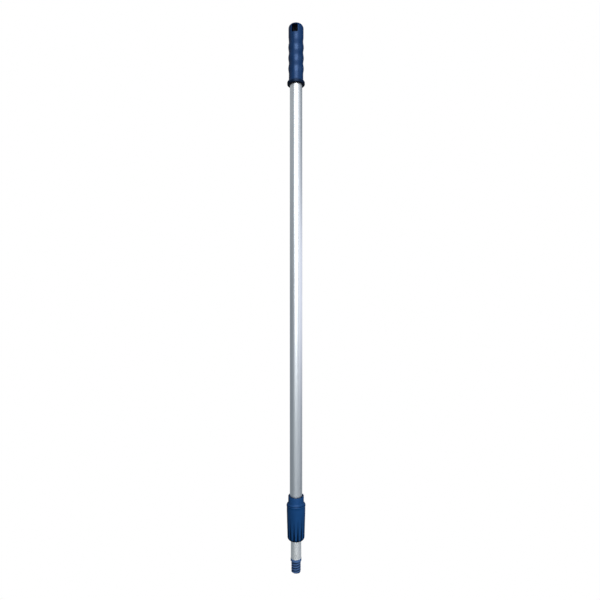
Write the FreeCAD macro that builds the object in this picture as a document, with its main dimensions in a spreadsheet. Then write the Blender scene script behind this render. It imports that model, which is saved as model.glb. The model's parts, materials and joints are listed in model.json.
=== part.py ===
import FreeCAD, Part
import math
import os
import Sketcher

# Telescopic extension pole for paint rollers: an outer tube with a moulded grip, an inner tube with
# a screw tip, and a twist lock that squeezes a split cone onto the inner tube. Millimetres, +Z up
# along the pole towards the grip. The origin is on the axis, in the shoulder face above the tip's
# thread, where a roller frame's socket comes to rest.

DRIVING_SIZES = {
    # tubes
    "outer_dia": 25.0,
    "outer_wall": 1.2,
    "inner_dia": 21.0,
    "inner_wall": 1.2,
    "running_gap": 0.05,
    # threaded tip
    "tip_thread_dia": 19.0,
    "tip_thread_depth": 1.9,
    "tip_pitch": 5.08,
    "tip_thread_length": 23.0,
    "tip_groove_width": 3.15,
    "tip_groove_floor": 1.83,
    "tip_groove_start": 29.1,
    "tip_groove_turns": 5.0,
    "tip_end_chamfer": 1.0,
    "tip_collar_dia": 21.9,
    "tip_collar_height": 5.0,
    "tip_stem_length": 32.0,
    "tip_core_dia": 9.0,
    "tip_core_floor": 8.0,
    # blind rivet through the tube into the tip
    "rivet_above_collar": 13.0,
    "rivet_angle": 100.0,
    "rivet_shank_dia": 4.8,
    "rivet_head_dia": 8.6,
    "rivet_head_height": 1.3,
    "rivet_head_edge": 0.25,
    "rivet_tail": 2.0,
    "rivet_seat_gap": 0.02,
    "rivet_hole_gap": 0.05,
    "mandrel_dia": 2.4,
    "mandrel_head_dia": 3.6,
    "mandrel_head_height": 1.8,
    "mandrel_end_height": 0.7,
    # twist nut
    "nut_bottom": 42.0,
    "nut_top": 113.2,
    "nut_top_dia": 37.4,
    "nut_rim_dia": 38.2,
    "nut_rim_height": 3.6,
    "nut_taper_top": 100.0,
    "nut_waist_dia": 34.6,
    "nut_end_round": 6.0,
    "nut_top_round": 1.2,
    "nut_floor": 57.0,
    "nut_mouth_dia": 22.0,
    "nut_cavity_dia": 31.4,
    "flute_count": 14.0,
    "flute_angle": 10.0,
    "flute_dia": 5.0,
    "flute_low": 39.0,
    "flute_low_circle": 18.33,
    "flute_high": 92.0,
    "flute_high_circle": 21.11,
    # lock thread between sleeve and nut
    "lock_pitch": 4.0,
    "lock_root_dia": 28.4,
    "lock_crest_dia": 30.8,
    "lock_flank_gap": 0.25,
    "lock_radial_gap": 0.3,
    "lock_thread_bottom": 88.0,
    "lock_thread_turns": 5.0,
    "nut_thread_bottom": 90.0,
    "nut_thread_turns": 4.0,
    "thread_bite": 0.3,
    # fixed sleeve
    "sleeve_bottom": 80.0,
    "sleeve_flange_bottom": 113.6,
    "sleeve_flange_thickness": 0.8,
    "sleeve_flange_dia": 36.5,
    "sleeve_body_dia": 31.5,
    "sleeve_flare_height": 3.6,
    "sleeve_top": 130.3,
    "sleeve_rim_round": 0.5,
    "sleeve_gap_dia": 28.9,
    "sleeve_gap_bottom": 126.8,
    "tube_stop": 93.0,
    "seat_mouth_dia": 26.6,
    "seat_throat_dia": 22.4,
    "seat_depth": 10.0,
    "sleeve_throat_dia": 21.8,
    # split cone and washer
    "collet_flange_dia": 30.4,
    "collet_flange_height": 4.0,
    "collet_body_dia": 25.6,
    "collet_body_chamfer": 1.0,
    "collet_seat_gap": 1.0,
    "cone_gap": 0.1,
    "collet_slots": 6.0,
    "collet_slot_width": 1.6,
    "collet_slot_reach": 30.0,
    "collet_solid_band": 2.0,
    "washer_thickness": 1.4,
    "washer_bore_dia": 21.8,
    "washer_gap": 0.1,
    # guide plug, its ring and pin, inside the outer tube
    "inner_tube_top": 985.0,
    "plug_stem_length": 22.0,
    "plug_head_dia": 22.2,
    "plug_head_height": 17.0,
    "plug_core_dia": 11.0,
    "ring_groove_dia": 19.6,
    "ring_groove_height": 9.0,
    "ring_height": 8.6,
    "ring_gap": 0.08,
    "ring_split": 1.5,
    "plug_pin_dia": 3.0,
    "plug_pin_under_flush": 0.2,
    "plug_pin_below_top": 10.0,
    # plug that closes the outer tube, the stop for the closed pole
    "outer_tube_top": 1020.0,
    "stop_stem_length": 17.0,
    "stop_head_height": 2.0,
    "stop_core_dia": 12.0,
    # grip
    "flange_bottom": 956.5,
    "flange_dia": 35.6,
    "flange_height": 7.7,
    "flange_lower_round": 1.6,
    "flange_upper_round": 3.0,
    "grip_neck_dia": 29.3,
    "grip_barrel_dia": 30.4,
    "bulge_dia": 31.3,
    "valley_dia": 29.0,
    "first_valley": 979.0,
    "bulge_pitch": 21.4,
    "bulge_count": 3.0,
    "barrel_bottom": 1054.0,
    "dome_base": 1070.0,
    "dome_shoulder_dia": 22.6,
    "dome_shoulder_height": 6.8,
    "dome_height": 9.9,
    "grip_core_dia": 19.0,
    "slot_floor": 6.0,
    "slot_width": 12.4,
    "slot_bottom": 1057.0,
    "slot_top": 1073.4,
    "slot_corner": 2.0,
}


class Size:
    """A length that carries both its value and the sheet expression that gives it."""

    def __init__(self, value, text):
        self.value = float(value)
        self.text = text

    def __add__(self, other):
        other = as_size(other)
        return Size(self.value + other.value, f"({self.text} + {other.text})")

    def __sub__(self, other):
        other = as_size(other)
        return Size(self.value - other.value, f"({self.text} - {other.text})")

    def __mul__(self, factor):
        factor = as_size(factor)
        return Size(self.value * factor.value, f"({self.text} * {factor.text})")

    def __truediv__(self, divisor):
        divisor = as_size(divisor)
        return Size(self.value / divisor.value, f"({self.text} / {divisor.text})")

    def __neg__(self):
        return Size(-self.value, f"(-1 * {self.text})")


def as_size(number):
    """Wrap a plain number as a Size."""
    if isinstance(number, Size):
        return number
    return Size(number, repr(float(number)))


class Sizes:
    """The sheet's cells as attributes: sizes.outer_dia and so on."""

    def __init__(self, sheet, values):
        for row, (alias, value) in enumerate(values.items(), start=1):
            cell = f"B{row}"
            sheet.set(f"A{row}", alias.replace("_", " "))
            sheet.set(cell, str(value))
            sheet.setAlias(cell, alias)
            setattr(self, alias, Size(value, f"{sheet.Label}.{alias}"))


# ---------------------------------------------------------------- sketch and feature helpers

def origin_feature(body, role):
    """One of the body's own origin planes or axes, found by its role."""
    for feature in body.Origin.OriginFeatures:
        if feature.Role == role:
            return feature
    raise ValueError(role)


def new_sketch(body, name, plane, height=0.0, turn=0.0):
    """An empty sketch on one of the body's origin planes, lifted and turned about its normal."""
    sketch = body.newObject("Sketcher::SketchObject", name)
    sketch.AttachmentSupport = [(origin_feature(body, plane), "")]
    sketch.MapMode = "FlatFace"
    lift = FreeCAD.Vector(0, 0, as_size(height).value)
    normal = FreeCAD.Vector(0, 0, 1)
    sketch.AttachmentOffset = FreeCAD.Placement(lift, FreeCAD.Rotation(normal, as_size(turn).value))
    if isinstance(height, Size):
        sketch.setExpression("AttachmentOffset.Base.z", height.text)
    return sketch


def place_point(sketch, geometry, vertex, position):
    """Fix one vertex of the sketch at a position given as two sizes."""
    for axis, kind, size in ((-2, "DistanceX", position[0]), (-1, "DistanceY", position[1])):
        size = as_size(size)
        if size.value == 0.0:
            sketch.addConstraint(Sketcher.Constraint("PointOnObject", geometry, vertex, axis))
            continue
        link = Sketcher.Constraint(kind, -1, 1, geometry, vertex, size.value)
        index = sketch.addConstraint(link)
        sketch.setExpression(f"Constraints[{index}]", size.text)


def arc_between(start, end, radius):
    """The arc of a radius from start to end: its centre is on the left for a positive radius."""
    chord = end - start
    middle = (start + end) * 0.5
    left = FreeCAD.Vector(-chord.y, chord.x, 0).normalize()
    rise = math.sqrt(radius * radius - chord.Length ** 2 / 4)
    centre = middle + left * math.copysign(rise, radius)
    first, last = (start, end) if radius > 0 else (end, start)
    first_angle = math.atan2(first.y - centre.y, first.x - centre.x)
    last_angle = math.atan2(last.y - centre.y, last.x - centre.x)
    circle = Part.Circle(centre, FreeCAD.Vector(0, 0, 1), abs(radius))
    return Part.ArcOfCircle(circle, first_angle, last_angle)


def leaning_radius(width, rise):
    """Radius of an arc that leaves a vertical line and moves sideways by a width over a rise."""
    return (width * width + rise * rise) / (width * 2)


def draw_outline(sketch, corners):
    """A closed outline. A corner is (x, y), or (x, y, radius) where an arc leads to the next one."""
    points = [FreeCAD.Vector(as_size(c[0]).value, as_size(c[1]).value, 0) for c in corners]
    ends = []
    for index, corner in enumerate(corners):
        start = points[index]
        end = points[(index + 1) % len(points)]
        if len(corner) == 2:
            geometry = sketch.addGeometry(Part.LineSegment(start, end))
            ends.append((geometry, 1, 2))
            continue
        radius = as_size(corner[2])
        geometry = sketch.addGeometry(arc_between(start, end, radius.value))
        ends.append((geometry, 1, 2) if radius.value > 0 else (geometry, 2, 1))
        length = radius if radius.value > 0 else -radius
        fixed = sketch.addConstraint(Sketcher.Constraint("Radius", geometry, length.value))
        sketch.setExpression(f"Constraints[{fixed}]", length.text)
    for index, corner in enumerate(corners):
        before = ends[index - 1]
        here = ends[index]
        sketch.addConstraint(Sketcher.Constraint("Coincident", before[0], before[2], here[0], here[1]))
        place_point(sketch, here[0], here[1], corner)
    return sketch


def draw_circle(sketch, diameter, centre=(0.0, 0.0)):
    """A circle of a diameter about a centre."""
    middle = FreeCAD.Vector(as_size(centre[0]).value, as_size(centre[1]).value, 0)
    circle = Part.Circle(middle, FreeCAD.Vector(0, 0, 1), diameter.value / 2)
    geometry = sketch.addGeometry(circle)
    fixed = sketch.addConstraint(Sketcher.Constraint("Diameter", geometry, diameter.value))
    sketch.setExpression(f"Constraints[{fixed}]", diameter.text)
    if as_size(centre[0]).value == 0.0 and as_size(centre[1]).value == 0.0:
        sketch.addConstraint(Sketcher.Constraint("Coincident", geometry, 3, -1, 1))
    else:
        place_point(sketch, geometry, 3, centre)
    return sketch


def new_body(document, label):
    """An empty body that carries a sub-part's name."""
    body = document.addObject("PartDesign::Body", label)
    body.Label = label
    return body


def turn(body, name, corners):
    """Revolve an outline drawn in the XZ plane a full turn about Z."""
    sketch = draw_outline(new_sketch(body, name + "_outline", "XZ_Plane"), corners)
    feature = body.newObject("PartDesign::Revolution", name)
    feature.Profile = sketch
    feature.ReferenceAxis = (sketch, ["V_Axis"])
    feature.Angle = 360
    sketch.Document.recompute()
    return feature


def pad_ring(body, name, outer, inner, bottom, top):
    """Pad the ring between two diameters from one height to another."""
    sketch = new_sketch(body, name + "_ring", "XY_Plane", bottom)
    draw_circle(sketch, outer)
    draw_circle(sketch, inner)
    feature = body.newObject("PartDesign::Pad", name)
    feature.Profile = sketch
    feature.Length = (top - bottom).value
    feature.setExpression("Length", (top - bottom).text)
    sketch.Document.recompute()
    return feature


def sweep_thread(body, name, kind, corners, pitch, turns):
    """Wind a tooth profile, drawn in the XZ plane, up a right-hand helix about Z."""
    sketch = draw_outline(new_sketch(body, name + "_tooth", "XZ_Plane"), corners)
    feature = body.newObject(kind, name)
    feature.Profile = sketch
    feature.ReferenceAxis = (sketch, ["V_Axis"])
    feature.Mode = 0
    feature.LeftHanded = False
    feature.Reversed = False
    feature.Pitch = pitch.value
    feature.Height = (pitch * turns).value
    feature.setExpression("Pitch", pitch.text)
    feature.setExpression("Height", (pitch * turns).text)
    sketch.Document.recompute()
    return feature


def drill_across(body, name, diameter, height, both_sides):
    """Drill through the wall along +X, or right through, at a height."""
    before = body.Shape.Volume
    sketch = new_sketch(body, name + "_circle", "YZ_Plane")
    draw_circle(sketch, diameter, (0.0, height))
    feature = body.newObject("PartDesign::Pocket", name)
    feature.Profile = sketch
    feature.Type = 1
    feature.Midplane = both_sides
    feature.Reversed = not both_sides
    sketch.Document.recompute()
    if not body.Shape.Volume < before:
        raise RuntimeError(f"{name} cuts nothing")
    return feature


def repeat_around(body, name, feature, count):
    """Repeat a feature evenly around Z."""
    pattern = body.newObject("PartDesign::PolarPattern", name)
    pattern.Originals = [feature]
    pattern.Axis = (origin_feature(body, "Z_Axis"), [""])
    pattern.Angle = 360
    pattern.Occurrences = int(count.value)
    body.Tip = pattern
    body.Document.recompute()
    return pattern


# ---------------------------------------------------------------- outer section

def make_outer_tube(document, d):
    """Drawn aluminium tube from the sleeve's stop up into the grip."""
    body = new_body(document, "outer_tube")
    bore = d.outer_dia - d.outer_wall * 2
    pad_ring(body, "tube", d.outer_dia, bore, d.tube_stop, d.outer_tube_top)
    return body


def grip_wave(d):
    """The grip's side from the flange up to the barrel: valleys with finger bulges between."""
    valley = d.valley_dia / 2
    bulge = d.bulge_dia / 2
    middle = (valley + bulge) / 2
    quarter = d.bulge_pitch / 4
    height = (bulge - valley) / 2
    radius = (quarter * quarter + height * height) / (height * 2)
    corners = [(valley, d.first_valley, -radius)]
    for index in range(int(d.bulge_count.value)):
        centre = d.first_valley + d.bulge_pitch * (index + 0.5)
        corners.append((middle, centre - quarter, radius))
        corners.append((middle, centre + quarter, -radius))
    last_valley = d.first_valley + d.bulge_pitch * d.bulge_count
    corners.append((middle, last_valley + quarter))
    return corners


def make_handle_grip(document, d):
    """Moulded grip: flange, finger bulges, barrel, domed end and a slot to hang the pole by."""
    body = new_body(document, "handle_grip")
    bore = d.outer_dia / 2
    core = d.grip_core_dia / 2
    barrel = d.grip_barrel_dia / 2
    neck = d.grip_neck_dia / 2
    rim = d.flange_dia / 2
    flange_top = d.flange_bottom + d.flange_height
    tube_seat = d.outer_tube_top + d.stop_head_height
    core_top = d.slot_bottom - d.slot_floor
    shoulder = d.dome_shoulder_dia / 2
    crown_height = d.dome_height - d.dome_shoulder_height
    corners = [
        (bore, d.flange_bottom),
        (rim - d.flange_lower_round, d.flange_bottom, d.flange_lower_round),
        (rim, d.flange_bottom + d.flange_lower_round),
        (rim, flange_top - d.flange_upper_round, d.flange_upper_round),
        (rim - d.flange_upper_round, flange_top),
        (neck, flange_top),
    ]
    corners += grip_wave(d)
    corners += [
        (barrel, d.barrel_bottom),
        (barrel, d.dome_base, leaning_radius(barrel - shoulder, d.dome_shoulder_height)),
        (shoulder, d.dome_base + d.dome_shoulder_height, leaning_radius(crown_height, shoulder)),
        (0.0, d.dome_base + d.dome_height),
        (0.0, core_top),
        (core, core_top),
        (core, tube_seat),
        (bore, tube_seat),
    ]
    turn(body, "grip_form", corners)

    before = body.Shape.Volume
    slot = new_sketch(body, "slot_outline", "XZ_Plane")
    half = d.slot_width / 2
    corner = d.slot_corner
    draw_outline(slot, [
        (corner - half, d.slot_bottom),
        (half - corner, d.slot_bottom, corner),
        (half, d.slot_bottom + corner),
        (half, d.slot_top - corner, corner),
        (half - corner, d.slot_top),
        (corner - half, d.slot_top, corner),
        (-half, d.slot_top - corner),
        (-half, d.slot_bottom + corner, corner),
    ])
    pocket = body.newObject("PartDesign::Pocket", "hang_slot")
    pocket.Profile = slot
    pocket.Type = 1
    pocket.Midplane = True
    document.recompute()
    if not body.Shape.Volume < before:
        raise RuntimeError("hang_slot cuts nothing")
    return body


def make_tube_plug(document, d):
    """Plug in the outer tube's upper end, and the stop for the closed inner section."""
    body = new_body(document, "tube_plug")
    stem = d.outer_dia / 2 - d.outer_wall
    head = d.outer_dia / 2
    core = d.stop_core_dia / 2
    top = d.outer_tube_top + d.stop_head_height
    bottom = d.outer_tube_top - d.stop_stem_length
    floor = bottom + d.stop_head_height
    turn(body, "plug_form", [
        (0.0, bottom),
        (stem, bottom),
        (stem, d.outer_tube_top),
        (head, d.outer_tube_top),
        (head, top),
        (core, top),
        (core, floor),
        (0.0, floor),
    ])
    return body


def make_threaded_sleeve(document, d):
    """Sleeve fixed on the outer tube's end: outside lock thread, inside cone seat, open gap at its rim."""
    body = new_body(document, "threaded_sleeve")
    bore = d.outer_dia / 2
    root = d.lock_root_dia / 2
    barrel = d.sleeve_body_dia / 2
    flange = d.sleeve_flange_dia / 2
    throat = d.sleeve_throat_dia / 2
    gap = d.sleeve_gap_dia / 2
    flange_top = d.sleeve_flange_bottom + d.sleeve_flange_thickness
    turn(body, "sleeve_form", [
        (d.seat_mouth_dia / 2, d.sleeve_bottom),
        (root, d.sleeve_bottom),
        (root, d.sleeve_flange_bottom),
        (flange, d.sleeve_flange_bottom),
        (flange, flange_top, -leaning_radius(flange - barrel, d.sleeve_flare_height)),
        (barrel, flange_top + d.sleeve_flare_height),
        (barrel, d.sleeve_top - d.sleeve_rim_round, d.sleeve_rim_round),
        (barrel - d.sleeve_rim_round, d.sleeve_top),
        (gap, d.sleeve_top),
        (gap, d.sleeve_gap_bottom),
        (bore, d.sleeve_gap_bottom),
        (bore, d.tube_stop),
        (throat, d.tube_stop),
        (throat, d.sleeve_bottom + d.seat_depth),
        (d.seat_throat_dia / 2, d.sleeve_bottom + d.seat_depth),
    ])
    crest = d.lock_crest_dia / 2
    wide = lock_tooth_root(d)
    narrow = wide - (crest - root) / 2
    low = d.lock_thread_bottom
    sweep_thread(body, "lock_thread", "PartDesign::AdditiveHelix", [
        (root - d.thread_bite, low),
        (root, low),
        (crest, low + (wide - narrow) / 2),
        (crest, low + (wide + narrow) / 2),
        (root, low + wide),
        (root - d.thread_bite, low + wide),
    ], d.lock_pitch, d.lock_thread_turns)
    return body


def lock_tooth_root(d):
    """Height of a lock tooth at its root, so that both threads leave the flank gap."""
    depth = (d.lock_crest_dia - d.lock_root_dia) / 2
    return d.lock_pitch / 2 - d.lock_flank_gap + depth / 4


# ---------------------------------------------------------------- twist lock

def make_lock_nut(document, d):
    """Twist nut: tapered, fluted outside, threaded inside above a cavity for the split cone."""
    body = new_body(document, "lock_nut")
    mouth = d.nut_mouth_dia / 2
    cavity = d.nut_cavity_dia / 2
    top = d.nut_top_dia / 2
    rim = d.nut_rim_dia / 2
    waist = d.nut_waist_dia / 2
    turn(body, "nut_form", [
        (mouth, d.nut_bottom),
        (waist - d.nut_end_round, d.nut_bottom, d.nut_end_round),
        (waist, d.nut_bottom + d.nut_end_round),
        (top, d.nut_taper_top),
        (top, d.nut_top - d.nut_rim_height),
        (rim, d.nut_top - d.nut_rim_height + rim - top),
        (rim, d.nut_top - d.nut_top_round, d.nut_top_round),
        (rim - d.nut_top_round, d.nut_top),
        (cavity, d.nut_top),
        (cavity, d.nut_floor),
        (mouth, d.nut_floor),
    ])
    crest = d.lock_root_dia / 2 + d.lock_radial_gap
    wide = lock_tooth_root(d)
    narrow = wide - (cavity - crest) / 2
    low = d.nut_thread_bottom
    sweep_thread(body, "nut_thread", "PartDesign::AdditiveHelix", [
        (cavity + d.thread_bite, low),
        (cavity + d.thread_bite, low + wide),
        (cavity, low + wide),
        (crest, low + (wide + narrow) / 2),
        (crest, low + (wide - narrow) / 2),
        (cavity, low),
    ], d.lock_pitch, d.nut_thread_turns)

    before = body.Shape.Volume
    low_circle = new_sketch(body, "flute_low", "XY_Plane", d.flute_low, d.flute_angle)
    draw_circle(low_circle, d.flute_dia, (d.flute_low_circle, 0.0))
    high_circle = new_sketch(body, "flute_high", "XY_Plane", d.flute_high, d.flute_angle)
    draw_circle(high_circle, d.flute_dia, (d.flute_high_circle, 0.0))
    flute = body.newObject("PartDesign::SubtractiveLoft", "flute")
    flute.Profile = low_circle
    flute.Sections = [high_circle]
    flute.Ruled = True
    document.recompute()
    if not body.Shape.Volume < before:
        raise RuntimeError("flute cuts nothing")
    repeat_around(body, "flutes", flute, d.flute_count)
    return body


def make_clamping_collet(document, d):
    """Split cone that slides down the sleeve's seat and grips the inner tube."""
    body = new_body(document, "clamping_collet")
    bore = d.inner_dia / 2 + d.running_gap
    bottom = d.nut_floor + d.washer_thickness + d.washer_gap * 2
    flange_top = bottom + d.collet_flange_height
    seat_end = d.sleeve_bottom + d.seat_depth - d.collet_seat_gap
    slope = (d.seat_mouth_dia - d.seat_throat_dia) / 2 / d.seat_depth
    tip = d.seat_throat_dia / 2 - d.cone_gap + slope
    mouth = d.seat_mouth_dia / 2 - d.cone_gap
    turn(body, "collet_form", [
        (bore, bottom),
        (d.collet_flange_dia / 2, bottom),
        (d.collet_flange_dia / 2, flange_top),
        (d.collet_body_dia / 2, flange_top),
        (d.collet_body_dia / 2, d.sleeve_bottom - d.collet_body_chamfer),
        (mouth, d.sleeve_bottom),
        (tip, seat_end),
        (bore, seat_end),
    ])
    before = body.Shape.Volume
    slot = new_sketch(body, "finger_slot_outline", "XZ_Plane")
    half = d.collet_slot_width / 2
    low = flange_top + d.collet_solid_band
    high = seat_end + d.collet_solid_band
    draw_outline(slot, [(-half, low), (half, low), (half, high), (-half, high)])
    pocket = body.newObject("PartDesign::Pocket", "finger_slot")
    pocket.Profile = slot
    pocket.Type = 0
    pocket.Length = d.collet_slot_reach.value
    pocket.setExpression("Length", d.collet_slot_reach.text)
    document.recompute()
    if not body.Shape.Volume < before:
        raise RuntimeError("finger_slot cuts nothing")
    repeat_around(body, "finger_slots", pocket, d.collet_slots)
    return body


def make_slip_washer(document, d):
    """Flat washer between the nut's floor and the split cone."""
    body = new_body(document, "slip_washer")
    bottom = d.nut_floor + d.washer_gap
    top = bottom + d.washer_thickness
    pad_ring(body, "washer", d.collet_flange_dia, d.washer_bore_dia, bottom, top)
    return body


# ---------------------------------------------------------------- inner section

def turn_about_axis(body, angle):
    """Turn a finished body about the pole's axis."""
    spin = FreeCAD.Rotation(FreeCAD.Vector(0, 0, 1), angle.value)
    body.Placement = FreeCAD.Placement(FreeCAD.Vector(0, 0, 0), spin)
    return body


def rivet_height(d):
    """Height of the rivet's axis."""
    return d.tip_collar_height + d.rivet_above_collar


def make_inner_tube(document, d):
    """Drawn aluminium tube that slides through the lock, drilled for the rivet and the plug's pin."""
    body = new_body(document, "inner_tube")
    bore = d.inner_dia - d.inner_wall * 2
    pad_ring(body, "tube", d.inner_dia, bore, d.tip_collar_height, d.inner_tube_top)
    drill_across(body, "rivet_hole", d.rivet_shank_dia + d.rivet_hole_gap * 2, rivet_height(d), False)
    pin_height = d.inner_tube_top - d.plug_pin_below_top
    drill_across(body, "pin_hole", d.plug_pin_dia, pin_height, True)
    return turn_about_axis(body, d.rivet_angle)


def make_threaded_tip(document, d):
    """Moulded tip: a stem inside the tube, a collar and a coarse right-hand thread."""
    body = new_body(document, "threaded_tip")
    stem = d.inner_dia / 2 - d.inner_wall
    crest = d.tip_thread_dia / 2
    collar = d.tip_collar_dia / 2
    core = d.tip_core_dia / 2
    top = d.tip_collar_height + d.tip_stem_length
    end = -d.tip_thread_length
    turn(body, "tip_form", [
        (0.0, end),
        (crest - d.tip_end_chamfer, end),
        (crest, end + d.tip_end_chamfer),
        (crest, 0.0),
        (collar, 0.0),
        (collar, d.tip_collar_height),
        (stem, d.tip_collar_height),
        (stem, top),
        (core, top),
        (core, end + d.tip_core_floor),
        (0.0, end + d.tip_core_floor),
    ])
    root = crest - d.tip_thread_depth
    wide = d.tip_groove_width
    narrow = d.tip_groove_floor
    low = -d.tip_groove_start
    outside = crest + d.tip_end_chamfer
    sweep_thread(body, "tip_thread", "PartDesign::SubtractiveHelix", [
        (root, low + (wide - narrow) / 2),
        (crest, low),
        (outside, low),
        (outside, low + wide),
        (crest, low + wide),
        (root, low + (wide + narrow) / 2),
    ], d.tip_pitch, d.tip_groove_turns)
    drill_across(body, "rivet_hole", d.rivet_shank_dia + d.rivet_hole_gap * 2, rivet_height(d), False)
    return turn_about_axis(body, d.rivet_angle)


def lay_radially(body, angle, height):
    """Lay a body made along its own Z on the pole's radius at an angle and a height."""
    along = FreeCAD.Rotation(FreeCAD.Vector(0, 1, 0), 90)
    spin = FreeCAD.Rotation(FreeCAD.Vector(0, 0, 1), angle.value)
    body.Placement = FreeCAD.Placement(FreeCAD.Vector(0, 0, height.value), spin.multiply(along))
    return body


def make_tip_rivet(document, d):
    """Blind rivet: a low domed head on the tube and a hollow shank swollen inside the tip."""
    body = new_body(document, "tip_rivet")
    shank = d.rivet_shank_dia / 2
    head = d.rivet_head_dia / 2
    bore = d.mandrel_dia / 2
    seat = d.inner_dia / 2 + d.rivet_seat_gap
    inner_end = d.tip_core_dia / 2 - d.rivet_tail
    top = seat + d.rivet_head_height
    turn(body, "rivet_form", [
        (bore, inner_end),
        (shank, inner_end),
        (shank, seat),
        (head, seat),
        (head, seat + d.rivet_head_edge, d.rivet_head_dia),
        (bore, top),
    ])
    return lay_radially(body, d.rivet_angle, rivet_height(d))


def make_tip_rivet_mandrel(document, d):
    """Broken-off steel stem inside the rivet, with the head that swelled its blind end."""
    body = new_body(document, "tip_rivet_mandrel")
    stem = d.mandrel_dia / 2
    head = d.mandrel_head_dia / 2
    inner_end = d.tip_core_dia / 2 - d.rivet_tail
    head_end = inner_end - d.mandrel_head_height
    broken_end = d.inner_dia / 2 + d.mandrel_end_height
    turn(body, "mandrel_form", [
        (0.0, head_end),
        (head, head_end),
        (head, inner_end),
        (stem, inner_end),
        (stem, broken_end),
        (0.0, broken_end),
    ])
    return lay_radially(body, d.rivet_angle, rivet_height(d))


def make_guide_plug(document, d):
    """Plug in the inner tube's hidden end. Its head guides the tube and carries the wear ring."""
    body = new_body(document, "guide_plug")
    stem = d.inner_dia / 2 - d.inner_wall
    head = d.plug_head_dia / 2
    groove = d.ring_groove_dia / 2
    core = d.plug_core_dia / 2
    bottom = d.inner_tube_top - d.plug_stem_length
    top = d.inner_tube_top + d.plug_head_height
    groove_bottom = d.inner_tube_top + (d.plug_head_height - d.ring_groove_height) / 2
    groove_top = groove_bottom + d.ring_groove_height
    turn(body, "plug_form", [
        (core, bottom),
        (stem, bottom),
        (stem, d.inner_tube_top),
        (head, d.inner_tube_top),
        (head, groove_bottom),
        (groove, groove_bottom),
        (groove, groove_top),
        (head, groove_top),
        (head, top),
        (core, top),
    ])
    pin_height = d.inner_tube_top - d.plug_pin_below_top
    drill_across(body, "pin_hole", d.plug_pin_dia, pin_height, True)
    return turn_about_axis(body, d.rivet_angle)


def make_plug_pin(document, d):
    """Cross pin through the inner tube and its guide plug, just under flush."""
    pin = document.addObject("Part::Cylinder", "plug_pin")
    pin.Label = "plug_pin"
    length = d.inner_dia - d.plug_pin_under_flush * 2
    pin.Radius = d.plug_pin_dia.value / 2
    pin.Height = length.value
    pin.setExpression("Radius", (d.plug_pin_dia / 2).text)
    pin.setExpression("Height", length.text)
    along = FreeCAD.Rotation(FreeCAD.Vector(0, 1, 0), 90)
    spin = FreeCAD.Rotation(FreeCAD.Vector(0, 0, 1), d.rivet_angle.value)
    turned = spin.multiply(along)
    centre = FreeCAD.Vector(0, 0, (d.inner_tube_top - d.plug_pin_below_top).value)
    start = centre - turned.multVec(FreeCAD.Vector(0, 0, length.value / 2))
    pin.Placement = FreeCAD.Placement(start, turned)
    return pin


def make_guide_ring(document, d):
    """Split wear ring in the guide plug's groove. It runs on the outer tube's bore."""
    body = new_body(document, "guide_ring")
    outer = d.outer_dia - d.outer_wall * 2 - d.ring_gap * 2
    inner = d.ring_groove_dia + d.ring_gap * 2
    middle = d.inner_tube_top + d.plug_head_height / 2
    bottom = middle - d.ring_height / 2
    top = middle + d.ring_height / 2
    pad_ring(body, "ring", outer, inner, bottom, top)
    before = body.Shape.Volume
    split = new_sketch(body, "split_outline", "XY_Plane", bottom)
    half = d.ring_split / 2
    draw_outline(split, [(0.0, -half), (outer, -half), (outer, half), (0.0, half)])
    pocket = body.newObject("PartDesign::Pocket", "split")
    pocket.Profile = split
    pocket.Type = 1
    pocket.Reversed = True
    document.recompute()
    if not body.Shape.Volume < before:
        raise RuntimeError("split cuts nothing")
    return body


# ---------------------------------------------------------------- whole pole

MAKERS = [
    make_outer_tube,
    make_handle_grip,
    make_tube_plug,
    make_threaded_sleeve,
    make_lock_nut,
    make_clamping_collet,
    make_slip_washer,
    make_inner_tube,
    make_threaded_tip,
    make_tip_rivet,
    make_tip_rivet_mandrel,
    make_guide_plug,
    make_plug_pin,
    make_guide_ring,
]


def check_document(document, pieces):
    """Stop if any object failed or any piece isn't one sound solid."""
    for item in document.Objects:
        if "Invalid" in item.State or "Error" in item.State:
            raise RuntimeError(f"{item.Label} is {item.State}")
    for piece in pieces:
        shape = piece.Shape
        if shape.isNull() or not shape.isValid() or len(shape.Solids) != 1:
            raise RuntimeError(f"{piece.Label} isn't one valid solid")


def main():
    os.makedirs("parts", exist_ok=True)
    document = FreeCAD.newDocument("extension_pole")
    sheet = document.addObject("Spreadsheet::Sheet", "Dimensions")
    sizes = Sizes(sheet, DRIVING_SIZES)
    document.recompute()
    pieces = [make(document, sizes) for make in MAKERS]
    document.recompute()
    check_document(document, pieces)
    for piece in pieces:
        piece.Shape.exportStep(f"parts/{piece.Label}.step")
        box = piece.Shape.optimalBoundingBox(True)
        print(f"{piece.Label}: {piece.Shape.Volume:.0f} mm3, z {box.ZMin:.1f} to {box.ZMax:.1f}")


main()
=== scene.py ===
import json
import math

import bmesh
import bpy
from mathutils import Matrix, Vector


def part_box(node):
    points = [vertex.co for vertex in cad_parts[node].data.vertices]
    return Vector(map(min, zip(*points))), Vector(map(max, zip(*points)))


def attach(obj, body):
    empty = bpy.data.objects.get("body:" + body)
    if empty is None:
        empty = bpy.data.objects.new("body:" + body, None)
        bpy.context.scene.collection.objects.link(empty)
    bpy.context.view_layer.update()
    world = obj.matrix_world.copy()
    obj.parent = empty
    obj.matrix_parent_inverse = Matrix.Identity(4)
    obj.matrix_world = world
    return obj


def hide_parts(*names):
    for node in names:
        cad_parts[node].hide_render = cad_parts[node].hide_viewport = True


# Telescopic extension pole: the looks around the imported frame. Metres, +Z up along the pole.

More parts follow.
